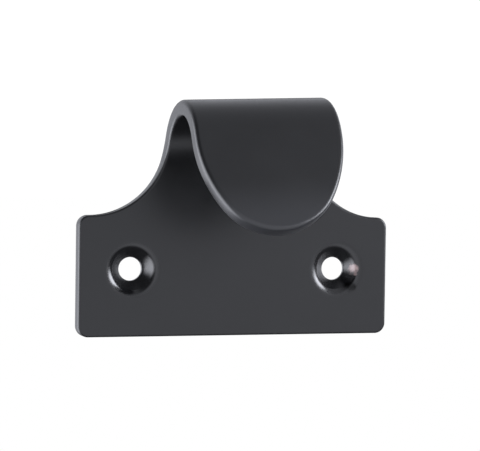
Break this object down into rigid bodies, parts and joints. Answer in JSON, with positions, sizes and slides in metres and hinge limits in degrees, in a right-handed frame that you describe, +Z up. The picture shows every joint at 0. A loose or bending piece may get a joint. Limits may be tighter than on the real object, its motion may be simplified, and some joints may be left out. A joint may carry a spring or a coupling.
{
  "type": "sash lift",
  "caption": "Black sheet-metal hook sash lift: countersunk plate with concave shoulders and a neck bent over into a round-ended finger hook.",
  "frame": {"origin": "midway between the two screw holes, on the plate's flat back face", "axes": "+X along the plate, to the right seen from the front; +Y out of the back face into the window sash; +Z up, towards the crown of the hook. The hook stands out towards -Y."},
  "size_m": [0.0604, 0.0303, 0.0445],
  "materials": {
    "black_coating": "satin black coating on steel sheet"
  },
  "bodies": {
    "root": {"lift_plate": "black_coating"}
  },
  "joints": []
}
